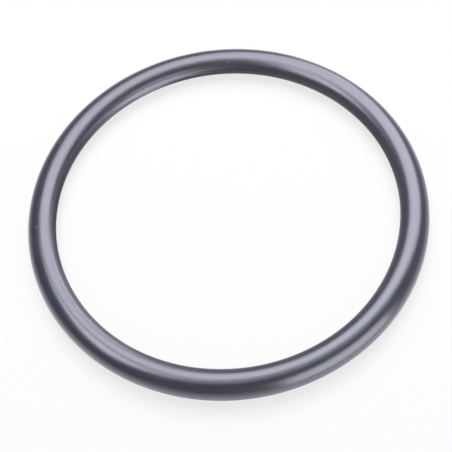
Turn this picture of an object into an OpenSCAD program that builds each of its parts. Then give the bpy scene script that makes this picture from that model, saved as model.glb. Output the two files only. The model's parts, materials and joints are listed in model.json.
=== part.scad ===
// Moulded rubber o-ring, lying flat. The origin is the centre of the ring, and +Z is its axis.
// The section is a true circle. Around its inside and outside equators runs the fine ridge
// that is left where the two halves of the mould met, trimmed down to a narrow flat crest.

/* [Ring] */
// Inside diameter of the free ring, measured on the round section
inside_d = 67; // [40:0.5:100]
// Diameter of the round section
section_d = 5.3; // [3.6:0.1:8]

/* [Parting line] */
// Width of the flat crest on each ridge
crest_w = 0.16; // [0.08:0.02:0.3]
// How far each crest stands proud of the round section
ridge_h = 0.05; // [0.02:0.01:0.1]
// Slope of the ridge's flanks, measured from the crest's face
flank_angle = 45; // [30:5:60]

/* [Hidden] */

// Radius of the round section
section_r = section_d / 2;
// From the ring's axis to the centre of the section
middle_r = inside_d / 2 + section_r;
// How deep a ridge's foot is buried in the section, so that its flanks end on the rubber
foot_depth = 2 * ridge_h;
// Facets around the section and around the ring
section_facets = 96;
ring_facets = 240;

// The parting plane through the section: at each end a flat crest between two sloping flanks
module parting_ridges() {
    crest_half = crest_w / 2;
    crest_x = section_r + ridge_h;
    foot_half = crest_half + (ridge_h + foot_depth) / tan(flank_angle);
    foot_x = section_r - foot_depth;
    polygon([
        [crest_x, -crest_half],
        [crest_x, crest_half],
        [foot_x, foot_half],
        [-foot_x, foot_half],
        [-crest_x, crest_half],
        [-crest_x, -crest_half],
        [-foot_x, -foot_half],
        [foot_x, -foot_half]
    ]);
}

// The section as it leaves the mould: the round cord with a ridge on its outside and inside
module moulded_section() {
    circle(r = section_r, $fn = section_facets);
    parting_ridges();
}

// The whole ring, the section turned once about the axis
module o_ring() {
    color([0.20, 0.21, 0.26])
        rotate_extrude($fn = ring_facets)
            translate([middle_r, 0])
                moulded_section();
}

o_ring();
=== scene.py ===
"""A moulded rubber o-ring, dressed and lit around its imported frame.

The ring is modelled from the frame's own sizes, gets a semi-gloss dark rubber finish, and lies
on a pale floor under soft lamps. Every length is in metres and every angle in radians, unless
its name or its description says otherwise.
"""

import json
import logging
import math
from dataclasses import dataclass
from enum import Enum
from typing import Any, Optional, Union

import bmesh
import bpy
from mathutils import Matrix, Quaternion, Vector

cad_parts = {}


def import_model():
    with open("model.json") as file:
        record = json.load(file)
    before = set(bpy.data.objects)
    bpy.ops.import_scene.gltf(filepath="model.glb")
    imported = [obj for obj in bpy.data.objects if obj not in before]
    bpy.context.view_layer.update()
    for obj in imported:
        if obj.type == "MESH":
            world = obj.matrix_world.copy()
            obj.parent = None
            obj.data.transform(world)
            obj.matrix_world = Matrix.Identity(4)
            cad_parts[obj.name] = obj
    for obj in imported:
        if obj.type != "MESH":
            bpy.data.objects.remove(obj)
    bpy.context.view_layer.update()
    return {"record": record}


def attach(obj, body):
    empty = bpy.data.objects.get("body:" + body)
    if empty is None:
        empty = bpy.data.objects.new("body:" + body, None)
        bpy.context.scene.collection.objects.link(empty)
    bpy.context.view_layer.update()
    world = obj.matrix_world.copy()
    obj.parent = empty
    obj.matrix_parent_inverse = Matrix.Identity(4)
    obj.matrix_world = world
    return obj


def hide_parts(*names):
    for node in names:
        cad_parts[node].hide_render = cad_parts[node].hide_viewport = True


LOG = logging.getLogger("o_ring")

MM = 0.001
MICRON = MM / 1000

Number = Union[int, float]
Colour = tuple[float, float, float]

WHITE: Colour = (1.0, 1.0, 1.0)
# The lamps and the floor look faintly blue in the ring's gloss.
GLOSS_TINT: Colour = (1.0, 0.985, 1.09)


class Name(str, Enum):
    """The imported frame's names for its body, its node, its material slot and its mounts."""

    BODY = "root"
    NODE = "o_ring"
    SLOT = "rubber"
    INSIDE_SEAT = "inside_seat"
    OUTSIDE_SEAT = "outside_seat"
    FACE_SEAT = "face_seat"


class NodeKind(str, Enum):
    """Blender's names for the nodes that the finishes and the world are built from."""

    BACKGROUND = "ShaderNodeBackground"
    BUMP = "ShaderNodeBump"
    COMBINE = "ShaderNodeCombineXYZ"
    COORDINATES = "ShaderNodeTexCoord"
    DIFFUSE = "ShaderNodeBsdfDiffuse"
    EMISSION = "ShaderNodeEmission"
    FRESNEL = "ShaderNodeFresnel"
    GEOMETRY = "ShaderNodeNewGeometry"
    GLOSSY = "ShaderNodeBsdfAnisotropic"
    LIGHT_PATH = "ShaderNodeLightPath"
    MATERIAL_OUTPUT = "ShaderNodeOutputMaterial"
    MATH = "ShaderNodeMath"
    MIX = "ShaderNodeMix"
    MIX_SHADER = "ShaderNodeMixShader"
    NOISE = "ShaderNodeTexNoise"
    PRINCIPLED = "ShaderNodeBsdfPrincipled"
    SEPARATE = "ShaderNodeSeparateXYZ"
    TRANSPARENT = "ShaderNodeBsdfTransparent"
    VECTOR_MATH = "ShaderNodeVectorMath"
    WORLD_OUTPUT = "ShaderNodeOutputWorld"


class Reach(Enum):
    """How a lamp shows: in the light that it sheds, or as a reflection in a gloss."""

    SHED = "shed"
    GLOSS = "gloss"


class Value:
    """A shader socket that takes part in Python expressions."""

    def __init__(self, shader: "Shader", socket: Any) -> None:
        """Wraps a socket.

        Args:
            shader: The shader whose nodes the expressions are added to.
            socket: The output socket that holds the value.
        """
        self.shader = shader
        self.socket = socket

    def _math(self, operation: str, *operands: Union["Value", Number]) -> "Value":
        """Adds a Math node.

        Args:
            operation: The node's operation.
            operands: What its inputs hold, in order.

        Returns:
            The node's result.
        """
        inputs = dict(enumerate(operands))
        return self.shader.node(NodeKind.MATH, inputs, {"operation": operation})

    def __add__(self, other: Union["Value", Number]) -> "Value":
        """Returns self + other."""
        return self._math("ADD", self, other)

    def __radd__(self, other: Number) -> "Value":
        """Returns other + self."""
        return self._math("ADD", other, self)

    def __sub__(self, other: Union["Value", Number]) -> "Value":
        """Returns self - other."""
        return self._math("SUBTRACT", self, other)

    def __rsub__(self, other: Number) -> "Value":
        """Returns other - self."""
        return self._math("SUBTRACT", other, self)

    def __mul__(self, other: Union["Value", Number]) -> "Value":
        """Returns self * other."""
        return self._math("MULTIPLY", self, other)

    def __rmul__(self, other: Number) -> "Value":
        """Returns other * self."""
        return self._math("MULTIPLY", other, self)

    def __truediv__(self, other: Union["Value", Number]) -> "Value":
        """Returns self / other."""
        return self._math("DIVIDE", self, other)

    def hypot(self, other: "Value") -> "Value":
        """Returns the length of the vector (self, other)."""
        return self._math("SQRT", self * self + other * other)

    def atan2(self, other: "Value") -> "Value":
        """Returns the angle of the point (other, self) about the origin."""
        return self._math("ARCTAN2", self, other)

    def maximum(self, other: Union["Value", Number]) -> "Value":
        """Returns the larger of self and other."""
        return self._math("MAXIMUM", self, other)

    def step(self, low: Number, high: Number) -> "Value":
        """Returns a smooth step.

        Args:
            low: Where the step starts, at 0.
            high: Where the step ends, at 1. It may be the lower of the two.

        Returns:
            0 before low, 1 after high and a smooth rise between them.
        """
        share = self._math("DIVIDE", self - low, high - low)
        inside = share._math("MINIMUM", share.maximum(0.0), 1.0)
        return inside * inside * (3.0 - 2.0 * inside)


class Shader:
    """A node tree that is built with expressions and one method for every other node."""

    def __init__(self, tree: Any) -> None:
        """Takes over a node tree and empties it.

        Args:
            tree: The node tree of a material or of the world.
        """
        self.tree = tree
        self.tree.nodes.clear()

    def node(
        self,
        kind: NodeKind,
        inputs: Optional[dict[Union[str, int], Any]] = None,
        settings: Optional[dict[str, Any]] = None,
        output: Union[str, int] = 0,
    ) -> Value:
        """Adds a node.

        Args:
            kind: The node's type.
            inputs: A value or a link for each socket that isn't left at its default.
            settings: The node's own properties, which are set first.
            output: The output socket that is returned.

        Returns:
            The output socket, ready for expressions.
        """
        made = self.tree.nodes.new(kind.value)
        for name, setting in (settings or {}).items():
            setattr(made, name, setting)
        for name, held in (inputs or {}).items():
            if isinstance(held, Value):
                self.tree.links.new(held.socket, made.inputs[name])
            else:
                made.inputs[name].default_value = held
        return Value(self, made.outputs[output])

    def close(self, kind: NodeKind, surface: Value) -> None:
        """Links the finished shader to the tree's output.

        Args:
            kind: The output node's type.
            surface: The shader that the tree gives.
        """
        end = self.tree.nodes.new(kind.value)
        self.tree.links.new(surface.socket, end.inputs["Surface"])

    def vector(self, x: Value, y: Value, z: Value) -> Value:
        """Returns the vector (x, y, z)."""
        return self.node(NodeKind.COMBINE, {"X": x, "Y": y, "Z": z})

    def parts(self, vector: Value, axes: str = "XYZ") -> list[Value]:
        """Returns the parts of a vector along the axes that are named."""
        return [self.node(NodeKind.SEPARATE, {0: vector}, output=axis) for axis in axes]

    def ray(self, kind: str) -> Value:
        """Returns 1 for the kind of ray that is named, such as Camera, and 0 for any other."""
        return self.node(NodeKind.LIGHT_PATH, output=f"Is {kind} Ray")

    def noise(
        self, vector: Value, scale: Number, detail: Number = 2.0, roughness: Number = 0.5
    ) -> Value:
        """Returns soft noise from 0 to 1.

        Args:
            vector: Where the noise is read.
            scale: How many features it has over one unit.
            detail: How many finer layers it adds.
            roughness: How strong the finer layers are.

        Returns:
            The noise.
        """
        inputs = {"Vector": vector, "Scale": scale, "Detail": detail, "Roughness": roughness}
        return self.node(NodeKind.NOISE, inputs, output="Fac")

    def blend(
        self, share: Value, low: Union[Value, Colour], high: Union[Value, Colour]
    ) -> Value:
        """Mixes two colours.

        Args:
            share: 0 gives low and 1 gives high.
            low: A colour, or a link to one.
            high: A colour, or a link to one.

        Returns:
            The mixed colour.
        """
        held = [c if isinstance(c, Value) else (*c, 1.0) for c in (low, high)]
        # Which of a Mix node's sockets work on colours.
        factor, first, second, result = 0, 6, 7, 2
        inputs = {factor: share, first: held[0], second: held[1]}
        return self.node(NodeKind.MIX, inputs, {"data_type": "RGBA"}, result)


@dataclass(frozen=True)
class RingSizes:
    """The ring's sizes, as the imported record's mounts give them.

    Attributes:
        middle_r: From the ring's axis to the centre of its section.
        section_r: Radius of the round section.
        ridge_h: How far the parting ridges stand proud of the round section.
        crest_w: Width of the flat crest on each ridge.
        floor_z: Height of what the ring lies on.
    """

    middle_r: float
    section_r: float
    ridge_h: float
    crest_w: float
    floor_z: float

    @classmethod
    def from_record(cls, record: dict[str, Any]) -> "RingSizes":
        """Works the sizes out from the ring's three seats.

        Args:
            record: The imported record.

        Returns:
            The sizes of the ring.
        """
        seats = {mount["name"]: mount for mount in record["mounts"]}
        inner = seats[Name.INSIDE_SEAT.value]["dims"]
        outer = seats[Name.OUTSIDE_SEAT.value]["dims"]
        floor_z = seats[Name.FACE_SEAT.value]["pos_m"][2]
        middle_r = (inner["r_mm"] + outer["r_mm"]) / 2 * MM
        crest_r = (outer["r_mm"] - inner["r_mm"]) / 2 * MM
        return cls(
            middle_r=middle_r,
            section_r=-floor_z,
            ridge_h=crest_r + floor_z,
            crest_w=outer["length_mm"] * MM,
            floor_z=floor_z,
        )


@dataclass(frozen=True)
class Speck:
    """A speck of dust that clings to the rubber.

    Attributes:
        around: Its place around the ring, in degrees from +X.
        over: Its place over the section, in degrees: 0 outside, 90 on top and 180 inside.
        size: Its radius.
    """

    around: float
    over: float
    size: float

    def place(self, sizes: RingSizes) -> Vector:
        """Returns the point of the round section that the speck lies on."""
        turn, rise = math.radians(self.around), math.radians(self.over)
        out = sizes.middle_r + sizes.section_r * math.cos(rise)
        up = sizes.section_r * math.sin(rise)
        return Vector((out * math.cos(turn), out * math.sin(turn), up))


@dataclass(frozen=True)
class RubberFinish:
    """Semi-gloss moulded rubber: dark blue-grey, with a faint bloom, a fine grain and some dust.

    Attributes:
        sizes: The ring's sizes.
        dark: The colour of clean rubber.
        bloomed: The colour where the bloom is thickest.
        dust: The colour of the specks of dust.
        gloss_ior: How strong the gloss is, as an index of refraction.
        smooth: The roughness of clean rubber.
        dull: The roughness where the bloom is thickest.
        dust_dulls: How much dust adds to the roughness.
        flow_around: How closely the drawn-out pattern is packed around the ring.
        flow_over: How closely it is packed over the section.
        streak_share: How much of the bloom's patches comes in streaks. The rest is clouds.
        cloud_size: The size of the clouds.
        patch_edges: Where a patch starts and where it is whole, as levels of noise.
        patch_share: How much of the bloom comes in patches. The rest is mottle.
        mottle_size: The size of the mottle.
        mottle_edges: Where the mottle starts and where it is whole, as levels of noise.
        wave_share: How much of the skin's waves is round. The rest is drawn out.
        wave_size: The size of the round waves.
        drawn_scale: How closely the drawn-out waves are packed.
        wave_depth: How deep the waves are.
        grain_size: The size of the skin's grain.
        grain_depth: How deep it is.
        ragged: The size of the bays in a speck's edge, and how deep they are.
        speck_core: How much of a speck's radius is solid.
        speck_height: How far a speck stands proud.
        specks: The specks of dust.
    """

    sizes: RingSizes
    dark: Colour = (0.0100, 0.0114, 0.0300)
    bloomed: Colour = (0.0190, 0.0211, 0.0460)
    dust: Colour = (0.30, 0.30, 0.34)
    gloss_ior: float = 1.8
    smooth: float = 0.28
    dull: float = 0.35
    dust_dulls: float = 0.3
    flow_around: float = 6.0
    flow_over: float = 7.0
    streak_share: float = 0.6
    cloud_size: float = 4.0 * MM
    patch_edges: tuple[float, float] = (0.35, 0.68)
    patch_share: float = 0.6
    mottle_size: float = 0.35 * MM
    mottle_edges: tuple[float, float] = (0.3, 0.7)
    wave_share: float = 0.6
    wave_size: float = 6.0 * MM
    drawn_scale: float = 1.6
    wave_depth: float = 9 * MICRON
    grain_size: float = 0.22 * MM
    grain_depth: float = 1.2 * MICRON
    ragged: float = 0.12 * MM
    speck_core: float = 0.4
    speck_height: float = 30 * MICRON
    specks: tuple[Speck, ...] = (
        Speck(150.0, 76.0, 0.12 * MM),
        Speck(-178.5, 83.5, 0.15 * MM),
        Speck(139.0, 198.5, 0.13 * MM),
        Speck(81.7, 137.0, 0.15 * MM),
        Speck(69.0, 176.0, 0.14 * MM),
        Speck(31.5, 64.0, 0.13 * MM),
        Speck(3.7, 135.5, 0.11 * MM),
    )

    def material(self) -> bpy.types.Material:
        """Builds the finish.

        Returns:
            The rubber material.
        """
        made = bpy.data.materials.new("moulded_rubber")
        made.use_nodes = True
        shader = Shader(made.node_tree)
        place = shader.node(NodeKind.COORDINATES, output="Object")
        flow = self._along_the_ring(shader, place)
        bloom = self._bloom(shader, place, flow)
        dust = self._dust(shader, place)
        colour = shader.blend(dust, shader.blend(bloom, self.dark, self.bloomed), self.dust)
        roughness = self.smooth + (self.dull - self.smooth) * bloom + self.dust_dulls * dust
        surface = shader.node(
            NodeKind.PRINCIPLED,
            {
                "Base Color": colour,
                "Roughness": roughness,
                "IOR": self.gloss_ior,
                "Normal": self._skin(shader, place, flow, dust),
            },
        )
        shader.close(NodeKind.MATERIAL_OUTPUT, surface)
        return made

    def _along_the_ring(self, shader: Shader, place: Value) -> Value:
        """Turns a place on the ring into one that is drawn out around it.

        Args:
            shader: The shader that the nodes are added to.
            place: Object coordinates.

        Returns:
            A vector that turns once around the ring, and rises with the angle over the section.
        """
        x, y, z = shader.parts(place)
        out = x.hypot(y)
        section = z.atan2(out - self.sizes.middle_r)
        around = self.flow_around
        return shader.vector(x / out * around, y / out * around, section * self.flow_over)

    def _bloom(self, shader: Shader, place: Value, flow: Value) -> Value:
        """Draws where a faint bloom dulls the gloss.

        Args:
            shader: The shader that the nodes are added to.
            place: Object coordinates.
            flow: Coordinates drawn out around the ring.

        Returns:
            0 on clean rubber and 1 where the bloom is thickest.
        """
        streaks = shader.noise(flow, scale=1.0, detail=3.0)
        clouds = shader.noise(place, 1 / self.cloud_size, detail=3.0)
        patches = self.streak_share * streaks + (1.0 - self.streak_share) * clouds
        mottle = shader.noise(place, 1 / self.mottle_size).step(*self.mottle_edges)
        bloom = self.patch_share * patches.step(*self.patch_edges)
        return bloom + (1.0 - self.patch_share) * mottle

    def _dust(self, shader: Shader, place: Value) -> Value:
        """Draws the specks of dust.

        Args:
            shader: The shader that the nodes are added to.
            place: Object coordinates.

        Returns:
            1 on a speck and 0 elsewhere.
        """
        ragged = (shader.noise(place, 1 / self.ragged) - 0.5) * self.ragged
        spots: Optional[Value] = None
        for speck in self.specks:
            inputs = {0: place, 1: speck.place(self.sizes)}
            away = shader.node(NodeKind.VECTOR_MATH, inputs, {"operation": "DISTANCE"}, "Value")
            spot = (away + ragged).step(speck.size, speck.size * self.speck_core)
            spots = spot if spots is None else spots.maximum(spot)
        return spots

    def _skin(self, shader: Shader, place: Value, flow: Value, dust: Value) -> Value:
        """Gives the moulded skin its slight waves and its fine grain.

        Args:
            shader: The shader that the nodes are added to.
            place: Object coordinates.
            flow: Coordinates drawn out around the ring.
            dust: The specks, which stand proud.

        Returns:
            The bumped normal.
        """
        waves = shader.noise(place, 1 / self.wave_size, detail=1.0)
        drawn = shader.noise(flow, self.drawn_scale)
        grain = shader.noise(place, 1 / self.grain_size, detail=3.0, roughness=0.6)
        waves = self.wave_share * waves + (1.0 - self.wave_share) * drawn
        height = waves * self.wave_depth + grain * self.grain_depth + dust * self.speck_height
        return shader.node(NodeKind.BUMP, {"Height": height, "Distance": 1.0, "Strength": 1.0})


@dataclass(frozen=True)
class Ring:
    """The o-ring itself: a round section with a parting ridge at each equator, spun about +Z.

    Attributes:
        sizes: The ring's sizes.
        section_steps: How many points the round section has.
        ring_steps: How many steps the spin has.
        weld: How close two points are when they count as one.
        crease: The angle above which an edge stays sharp.
    """

    sizes: RingSizes
    section_steps: int = 96
    ring_steps: int = 360
    weld: float = 0.001 * MM
    crease: float = math.radians(30)

    def build(self) -> None:
        """Models and dresses the ring, which then stands for the frame's node."""
        self._add_section()
        bpy.ops.object.mode_set(mode="EDIT")
        self._raise_ridges()
        self._spin()
        bpy.ops.object.mode_set(mode="OBJECT")
        piece = bpy.context.object
        piece.name = piece.data.name = "moulded_ring"
        bpy.ops.object.shade_smooth_by_angle(angle=self.crease)
        piece.data.materials.append(RubberFinish(self.sizes).material())
        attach(piece, Name.BODY.value)
        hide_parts(Name.NODE.value)
        LOG.info("%s: %d faces", piece.name, len(piece.data.polygons))

    def _add_section(self) -> None:
        """Adds the round section, standing in the XZ plane at its place in the ring."""
        bpy.ops.object.select_all(action="DESELECT")
        bpy.ops.mesh.primitive_circle_add(
            vertices=self.section_steps,
            radius=self.sizes.section_r,
            fill_type="NOTHING",
            location=(self.sizes.middle_r, 0, 0),
            rotation=(math.pi / 2, 0, 0),
        )
        bpy.ops.object.transform_apply(location=True, rotation=True, scale=True)

    def _raise_ridges(self) -> None:
        """Cuts the section at the edges of each ridge, and lifts the crests off the round."""
        crest = self.sizes.crest_w / 2
        foot = crest + self.sizes.ridge_h
        for height in (-foot, -crest, crest, foot):
            bpy.ops.mesh.select_all(action="SELECT")
            bpy.ops.mesh.bisect(plane_co=(0, 0, height), plane_no=(0, 0, 1))
        for side in (1, -1):
            self._select_crest(side)
            bpy.ops.transform.translate(value=(side * self.sizes.ridge_h, 0, 0))

    def _select_crest(self, side: int) -> None:
        """Selects the points of one crest.

        Args:
            side: 1 for the crest outside the ring and -1 for the one inside it.
        """
        bpy.ops.mesh.select_all(action="DESELECT")
        mesh = bpy.context.object.data
        drawn = bmesh.from_edit_mesh(mesh)
        for point in drawn.verts:
            beside = (point.co.x - self.sizes.middle_r) * side > 0
            point.select = beside and abs(point.co.z) < self.sizes.crest_w / 2 + self.weld
        drawn.select_flush_mode()
        bmesh.update_edit_mesh(mesh)

    def _spin(self) -> None:
        """Spins the section once about the ring's axis, and closes the tube with outward faces."""
        bpy.ops.mesh.select_all(action="SELECT")
        bpy.ops.mesh.spin(
            steps=self.ring_steps, angle=2 * math.pi, center=(0, 0, 0), axis=(0, 0, 1)
        )
        bpy.ops.mesh.select_all(action="SELECT")
        bpy.ops.mesh.remove_doubles(threshold=self.weld)
        bpy.ops.mesh.normals_make_consistent(inside=False)


@dataclass(frozen=True)
class Lamp:
    """A soft rectangular lamp.

    Attributes:
        name: What the lamp is called.
        place_mm: Where its centre is, in millimetres from the ring's centre.
        size_mm: Its width and its height, in millimetres.
        azimuth: Where its light comes from, in degrees from straight behind the ring, positive
            to the right.
        elevation: How steeply its light comes down, in degrees.
        turn: How far it is turned about its own axis, in degrees.
        brightness: The level of its face, where 1 is white.
        reach: What it lights.
    """

    name: str
    place_mm: tuple[float, float, float]
    size_mm: tuple[float, float]
    azimuth: float
    elevation: float
    turn: float
    brightness: float
    reach: Reach = Reach.GLOSS

    def build(self, tint: Colour) -> None:
        """Adds the lamp.

        Args:
            tint: The colour of its light.
        """
        # In watts per square metre: what gives an area lamp's face a level of 1.
        watts_per_level = 4.0
        turn, rise = math.radians(self.azimuth), math.radians(self.elevation)
        flat = math.cos(rise)
        away = Vector((math.sin(turn) * flat, math.cos(turn) * flat, math.sin(rise)))
        facing = away.to_track_quat("Z", "Y") @ Quaternion((0, 0, 1), math.radians(self.turn))
        width, height = (length * MM for length in self.size_mm)
        bpy.ops.object.select_all(action="DESELECT")
        bpy.ops.object.light_add(
            type="AREA", location=Vector(self.place_mm) * MM, rotation=facing.to_euler()
        )
        lamp = bpy.context.object
        lamp.name = lamp.data.name = self.name
        lamp.data.shape = "RECTANGLE"
        lamp.data.size, lamp.data.size_y = width, height
        lamp.data.energy = self.brightness * width * height * watts_per_level
        lamp.data.color = tint
        lamp.visible_camera = False
        lamp.visible_diffuse = self.reach is Reach.SHED
        lamp.visible_glossy = self.reach is Reach.GLOSS
        LOG.info("%s: %.0f by %.0f mm", lamp.name, *self.size_mm)


@dataclass(frozen=True)
class Pool:
    """A patch of light or shade on the floor, which shows in the ring's gloss.

    Attributes:
        place_mm: Its centre, in millimetres from the ring's centre.
        size_mm: Its half length and its half width, in millimetres.
        turn: Where its length points, in degrees from +X.
        brightness: How much it adds at its centre, where 1 is white. It is below 0 for shade.
        rim: Where its edge starts and where it has its full level, with 1 at its half length or
            its half width.
    """

    place_mm: tuple[float, float]
    size_mm: tuple[float, float]
    turn: float
    brightness: float
    rim: tuple[float, float] = (1.25, 0.75)

    def level(self, x: Value, y: Value) -> Value:
        """Draws the patch.

        Args:
            x: The place on the floor along X.
            y: The place on the floor along Y.

        Returns:
            The brightness that the patch adds there.
        """
        away = [axis - centre * MM for axis, centre in zip((x, y), self.place_mm)]
        cos, sin = math.cos(math.radians(self.turn)), math.sin(math.radians(self.turn))
        along = (away[0] * cos + away[1] * sin) / (self.size_mm[0] * MM)
        across = (away[1] * cos - away[0] * sin) / (self.size_mm[1] * MM)
        return along.hypot(across).step(*self.rim) * self.brightness


@dataclass(frozen=True)
class Floor:
    """The pale floor that the ring lies on.

    Its shadow_fade, under_ring and to_far are counted from the ring's axis, where 1 is the centre
    of the section.

    Attributes:
        sizes: The ring's sizes.
        size: How wide the floor is.
        pale: Its colour in the light that it throws back.
        seen: Its colour to the camera, where it holds the ring's shadow.
        shadow_share: How much of the shadow the camera sees.
        shadow_fade: Where the shadow is gone and where it is whole.
        mirror_ior: How strongly the floor mirrors the lamps in the ring's gloss.
        mirror_roughness: How blurred it mirrors them.
        level_inside: How bright its painted glow looks in the gloss inside the ring, where 1 is
            white. It is low there as painted shade.
        level_outside: How bright it looks just outside the ring.
        level_far: How bright it looks far away.
        under_ring: Where the level changes from inside to outside.
        to_far: Where the level changes from outside to far away.
        pools: The patches of light and shade on it.
    """

    sizes: RingSizes
    size: float = 8.0
    pale: Colour = (0.80, 0.80, 0.80)
    seen: Colour = (0.95, 0.95, 0.95)
    shadow_share: float = 0.25
    shadow_fade: tuple[float, float] = (8.0, 3.0)
    mirror_ior: float = 1.42
    mirror_roughness: float = 0.15
    level_inside: float = 0.43
    level_outside: float = 1.6
    level_far: float = 3.8
    under_ring: tuple[float, float] = (1.0, 1.12)
    to_far: tuple[float, float] = (1.3, 3.5)
    pools: tuple[Pool, ...] = (
        Pool((-7.5, 21.5), (9.5, 8.0), -55.0, 4.21),
        Pool((-17.5, 24.0), (7.5, 4.5), 40.0, 0.44),
        Pool((-27.0, 3.0), (10.0, 5.5), 90.0, -0.32),
    )

    def build(self) -> None:
        """Adds the floor."""
        bpy.ops.object.select_all(action="DESELECT")
        bpy.ops.mesh.primitive_plane_add(size=self.size, location=(0, 0, self.sizes.floor_z))
        floor = bpy.context.object
        floor.name = floor.data.name = "floor"
        floor.data.materials.append(self._material())
        LOG.info("floor: %.1f m wide", self.size)

    def _material(self) -> bpy.types.Material:
        """Builds a pale finish that the camera sees as white with a soft shadow.

        Returns:
            The floor's material. From below it lets the camera through.
        """
        made = bpy.data.materials.new("pale_floor")
        made.use_nodes = True
        shader = Shader(made.node_tree)
        place = shader.node(NodeKind.COORDINATES, output="Object")
        x, y = shader.parts(place, "XY")
        out = x.hypot(y) / self.sizes.middle_r
        camera = shader.ray("Camera")
        seen = self._seen(shader, out)
        plain = shader.node(NodeKind.DIFFUSE, {"Color": (*self.pale, 1.0)})
        surface = shader.node(NodeKind.MIX_SHADER, {0: camera, 1: plain, 2: seen})
        gloss = self._gloss(shader, self._gloss_level(x, y, out))
        mirrored = shader.ray("Glossy").maximum(shader.ray("Transmission"))
        surface = shader.node(NodeKind.MIX_SHADER, {0: mirrored, 1: surface, 2: gloss})
        below = shader.node(NodeKind.GEOMETRY, output="Backfacing") * camera
        clear = shader.node(NodeKind.TRANSPARENT)
        surface = shader.node(NodeKind.MIX_SHADER, {0: below, 1: surface, 2: clear})
        shader.close(NodeKind.MATERIAL_OUTPUT, surface)
        return made

    def _seen(self, shader: Shader, out: Value) -> Value:
        """Builds what the camera sees of the floor.

        Args:
            shader: The shader that the nodes are added to.
            out: The distance from the ring's axis, where 1 is the centre of the section.

        Returns:
            Plain white with a soft shadow around the ring.
        """
        white = shader.node(NodeKind.EMISSION, {"Color": (*WHITE, 1.0), "Strength": 1.0})
        shaded = shader.node(NodeKind.DIFFUSE, {"Color": (*self.seen, 1.0)})
        share = out.step(*self.shadow_fade) * self.shadow_share
        return shader.node(NodeKind.MIX_SHADER, {0: share, 1: white, 2: shaded})

    def _gloss(self, shader: Shader, brightness: Value) -> Value:
        """Builds what the ring's gloss shows of the floor: a glow of painted light.

        Args:
            shader: The shader that the nodes are added to.
            brightness: The floor's level.

        Returns:
            The level, and at a low angle a blurred mirror of the lamps.
        """
        inputs = {"Color": (*GLOSS_TINT, 1.0), "Strength": brightness}
        level = shader.node(NodeKind.EMISSION, inputs)
        inputs = {"Color": (*WHITE, 1.0), "Roughness": self.mirror_roughness}
        mirror = shader.node(NodeKind.GLOSSY, inputs)
        grazing = shader.node(NodeKind.FRESNEL, {"IOR": self.mirror_ior})
        return shader.node(NodeKind.MIX_SHADER, {0: grazing, 1: level, 2: mirror})

    def _gloss_level(self, x: Value, y: Value, out: Value) -> Value:
        """Draws the painted light that the floor glows with in the ring's gloss.

        Args:
            x: The place on the floor along X.
            y: The place on the floor along Y.
            out: The distance from the ring's axis, where 1 is the centre of the section.

        Returns:
            The level: dimmest inside the ring, as painted shade, brighter outside it and brightest
                far away.
        """
        # Painted light: an emission that only glossy rays see, with painted shade inside the ring
        # and along its edge.
        outwards = (self.level_outside - self.level_inside) * out.step(*self.under_ring)
        level = self.level_inside + outwards
        level = level + (self.level_far - self.level_outside) * out.step(*self.to_far)
        for pool in self.pools:
            level = level + pool.level(x, y)
        return level


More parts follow.
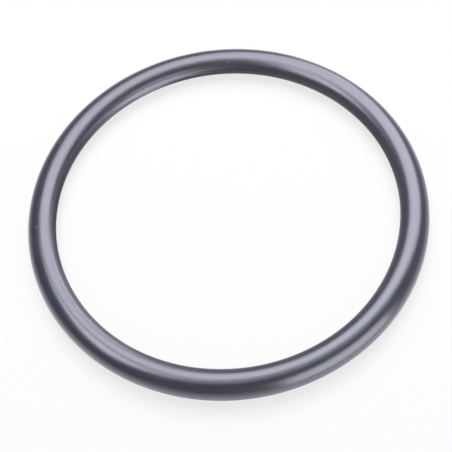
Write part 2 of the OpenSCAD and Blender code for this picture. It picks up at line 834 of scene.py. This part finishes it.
@dataclass(frozen=True)
class Studio:
    """The lamps, the surrounding light and the floor.

    Attributes:
        sizes: The ring's sizes.
        ambient: The level of the light that comes from all around.
        gloss_level: How bright the surroundings look in the ring's gloss, where 1 is white.
        left_dimmer: How much less bright they are at the left.
        left_fade: Where that starts and where it is whole, with 0 ahead and -1 at the left.
        top_dimmer: How much less bright they are overhead.
        top_fade: Where that starts and where it is whole, with 0 at the sides and 1 overhead.
        lamps: The lamps.
    """

    sizes: RingSizes
    ambient: float = 0.30
    gloss_level: float = 0.56
    left_dimmer: float = 0.17
    left_fade: tuple[float, float] = (-0.3, -0.9)
    top_dimmer: float = 0.21
    top_fade: tuple[float, float] = (0.5, 0.9)
    # Each has its name, place_mm, size_mm, azimuth, elevation, turn and brightness.
    lamps: tuple[Lamp, ...] = (
        Lamp("key_lamp", (49, 277, 530), (500, 500), 10, 62, 0, 3.6, Reach.SHED),
        Lamp("main_panel", (22, 47, 75), (130, 103), 28, 46, 41, 3.47),
        Lamp("upper_panel", (27, 29, 86), (116, 62), 28, 46, 41, 0.75),
        Lamp("top_panel", (24, -22, 125), (104, 45), 10, 75, 25, 1.15),
        Lamp("right_panel", (33, -54, 14.5), (48, 29), 151, 3, 0, 3.15),
        Lamp("low_panel", (-13.8, 5.8, 4.4), (8.1, 7.4), 45, 0, 0, 4.70),
        Lamp("left_panel", (-50, -8.5, 112), (55, 156), -81, -3, 0, 5.00),
    )

    def build(self) -> None:
        """Lights the scene and lays the floor."""
        for lamp in self.lamps:
            lamp.build(GLOSS_TINT if lamp.reach is Reach.GLOSS else WHITE)
        self._surround()
        Floor(self.sizes).build()

    def _surround(self) -> None:
        """Sets the world: a dim light, white to the camera and a pale room in the gloss."""
        world = bpy.data.worlds.new("surround")
        world.use_nodes = True
        bpy.context.scene.world = world
        shader = Shader(world.node_tree)
        direction = shader.node(NodeKind.COORDINATES, output="Generated")
        left, top = shader.parts(direction, "XZ")
        dimmed = self.left_dimmer * left.step(*self.left_fade)
        dimmed = dimmed + self.top_dimmer * top.step(*self.top_fade)
        white = (1.0 - self.ambient) * shader.ray("Camera").maximum(shader.ray("Transmission"))
        room = (self.gloss_level - self.ambient - dimmed) * shader.ray("Glossy")
        inputs = {"Color": (*WHITE, 1.0), "Strength": self.ambient + white + room}
        shader.close(NodeKind.WORLD_OUTPUT, shader.node(NodeKind.BACKGROUND, inputs))


@dataclass(frozen=True)
class Viewpoint:
    """The camera, at the photograph's viewing angle.

    Attributes:
        lens_mm: Its focal length, in millimetres.
        sensor_mm: The width of its sensor, in millimetres.
        elevation: How high it stands over the floor, as an angle.
        distance: How far it is from the ring's centre.
        aim: The point that it looks at.
        roll: How far it is turned about its own axis.
        nearest: The least distance at which it sees.
        furthest: The greatest distance at which it sees.
    """

    lens_mm: float = 55.86
    sensor_mm: float = 36.0
    elevation: float = math.radians(58.77)
    distance: float = 136.9 * MM
    aim: tuple[float, float, float] = (-0.53 * MM, -5.23 * MM, 0.0)
    roll: float = math.radians(-8.68)
    nearest: float = 1.0 * MM
    furthest: float = 100.0

    def build(self) -> None:
        """Adds the camera in front of and above the ring, and makes it the scene's own."""
        place = Vector((0, -math.cos(self.elevation), math.sin(self.elevation))) * self.distance
        level = (place - Vector(self.aim)).to_track_quat("Z", "Y")
        facing = level @ Quaternion((0, 0, 1), self.roll)
        bpy.ops.object.camera_add(location=place, rotation=facing.to_euler())
        camera = bpy.context.object
        camera.name = camera.data.name = "viewpoint"
        camera.data.lens = self.lens_mm
        camera.data.sensor_width = self.sensor_mm
        camera.data.clip_start = self.nearest
        camera.data.clip_end = self.furthest
        bpy.context.scene.camera = camera


def main() -> None:
    """Loads the frame, builds the ring, the studio and the camera."""
    logging.basicConfig(level=logging.INFO, format="%(name)s: %(message)s")
    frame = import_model()
    sizes = RingSizes.from_record(frame["record"])
    Ring(sizes).build()
    Studio(sizes).build()
    Viewpoint().build()
    bpy.context.scene.view_settings.view_transform = "Standard"


if __name__ == "__main__":
    main()
